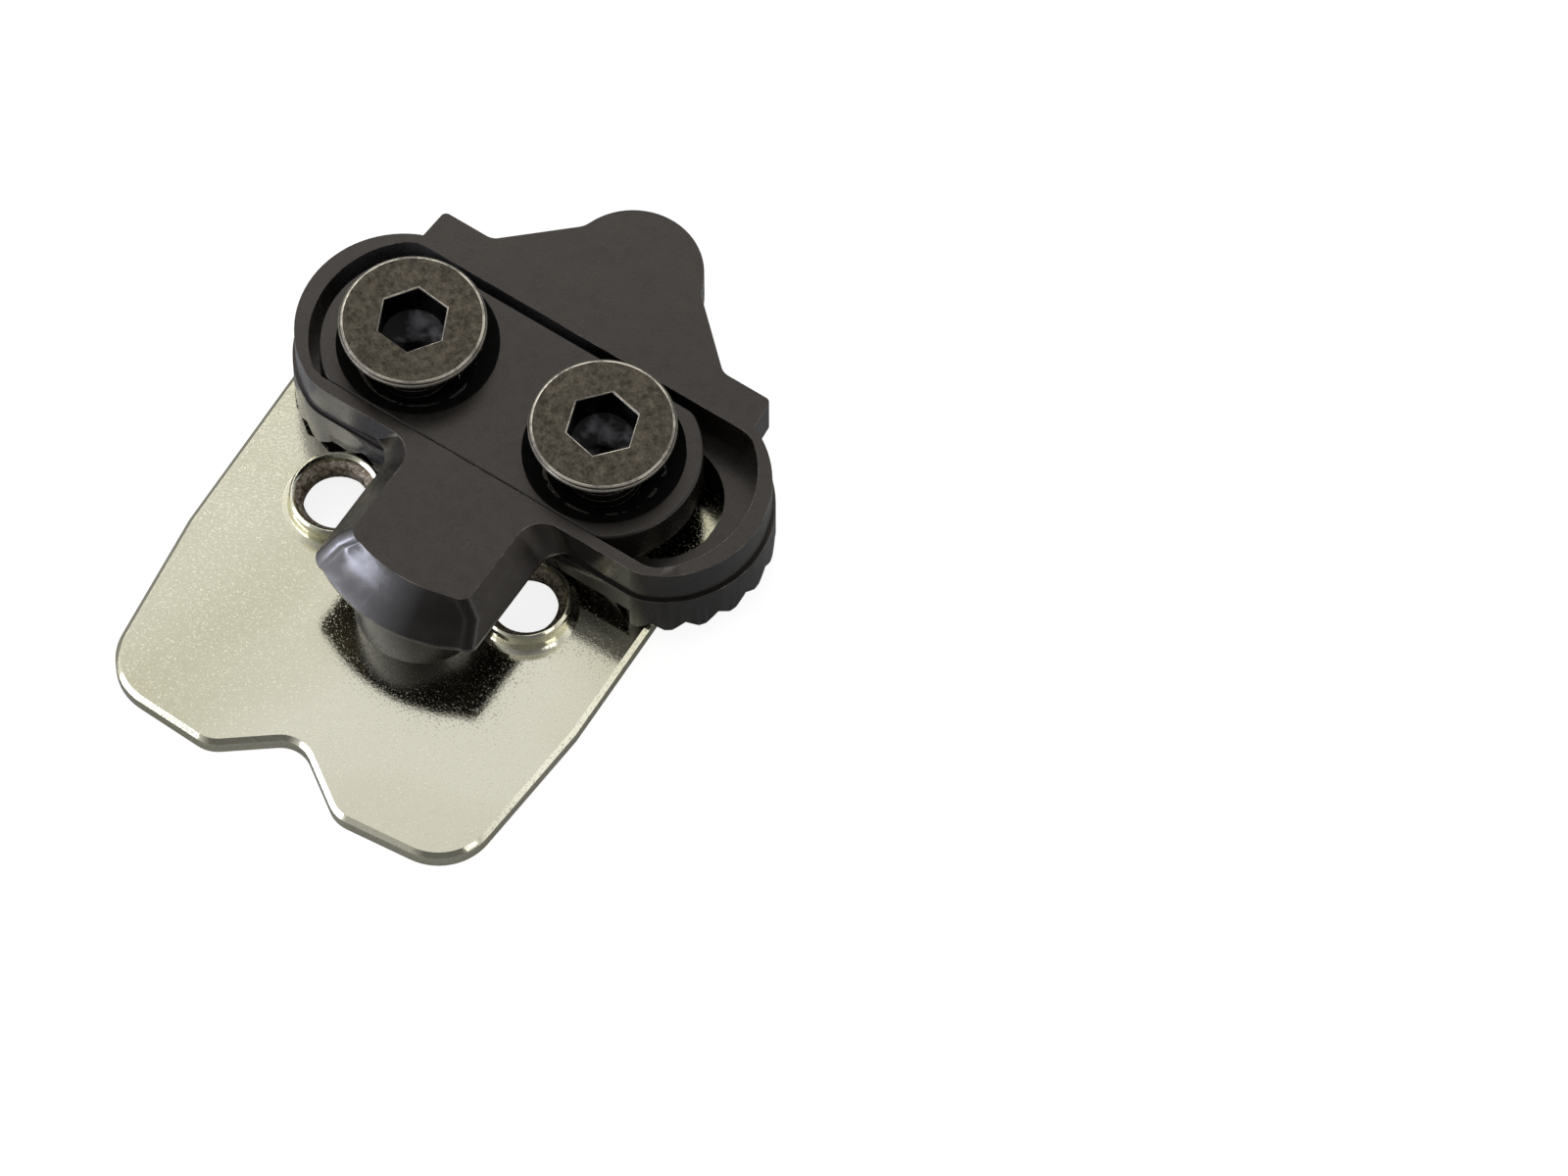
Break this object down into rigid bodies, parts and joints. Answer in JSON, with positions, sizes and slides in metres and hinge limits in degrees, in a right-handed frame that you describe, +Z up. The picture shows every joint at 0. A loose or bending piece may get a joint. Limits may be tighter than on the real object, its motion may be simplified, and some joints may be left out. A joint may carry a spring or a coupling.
{
  "type": "clipless pedal cleat",
  "caption": "Clipless pedal cleat with a nosed front claw, bevelled rear claw, toothed flange, adapter plate, flat-headed socket screws and a threaded nut plate.",
  "frame": {"origin": "midway between the two front threaded holes, on the flat underside of the nut plate", "axes": "+Z up from the underside of the nut plate to the screw heads, +Y towards the nose of the cleat, +X across the shoe along the screw row"},
  "size_m": [0.0336, 0.0436, 0.0111],
  "materials": {
    "plated_steel": "bright zinc plating with a pale yellowish tint",
    "dark_washer_steel": "satin black oxide",
    "blackened_steel": "satin black oxide, rubbed bright on thin edges",
    "screw_steel": "mottled brown-grey oxide"
  },
  "bodies": {
    "plates": {"nut_plate": "plated_steel", "adapter_plate": "dark_washer_steel"},
    "cleat": {"cleat_body": "blackened_steel"},
    "left_screw": {"screw_left": "screw_steel"},
    "right_screw": {"screw_right": "screw_steel"}
  },
  "joints": [
    {"name": "cleat_adjust", "type": "slide", "parent": "plates", "child": "cleat", "axis": [0.9996, -0.0279, 0], "range_m": [-0.0036, 0.0007]},
    {"name": "screw_left_advance", "type": "slide", "parent": "plates", "child": "left_screw", "axis": [0, 0, 1], "range_m": [-0.0024, 0.0029]},
    {"name": "screw_right_advance", "type": "slide", "parent": "plates", "child": "right_screw", "axis": [0, 0, 1], "range_m": [-0.0024, 0.0029]}
  ]
}
